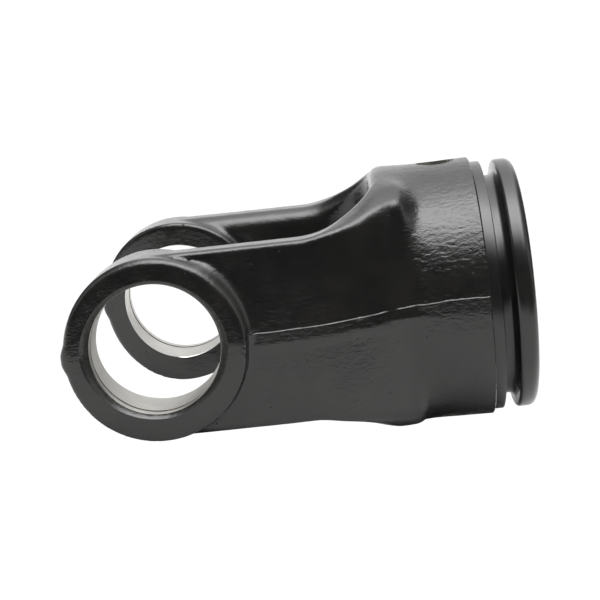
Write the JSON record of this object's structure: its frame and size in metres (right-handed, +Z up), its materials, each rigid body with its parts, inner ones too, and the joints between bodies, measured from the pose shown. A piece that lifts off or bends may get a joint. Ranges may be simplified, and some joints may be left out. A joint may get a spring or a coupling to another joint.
{
  "type": "forged yoke",
  "caption": "Forged universal-joint yoke: fork with coaxial bearing-cap bores, round hub with tube socket, cross pin hole, machined band, ring groove and end flange.",
  "frame": {"origin": "centre of the cross: the cross bore's axis at the middle of the fork", "axes": "+Y along the cross bore; +Z up with the yoke lying on both ears and the hub's front lip; +X from the ears towards the flange, level, so the tube axis climbs 10.7 degrees from +X towards +Z"},
  "size_m": [0.1209, 0.0878, 0.0719],
  "materials": {
    "black_paint": "satin to gloss black paint over a forged skin",
    "machined_steel": "bare turned steel in the bores"
  },
  "bodies": {
    "root": {"yoke": "black_paint"}
  },
  "joints": []
}
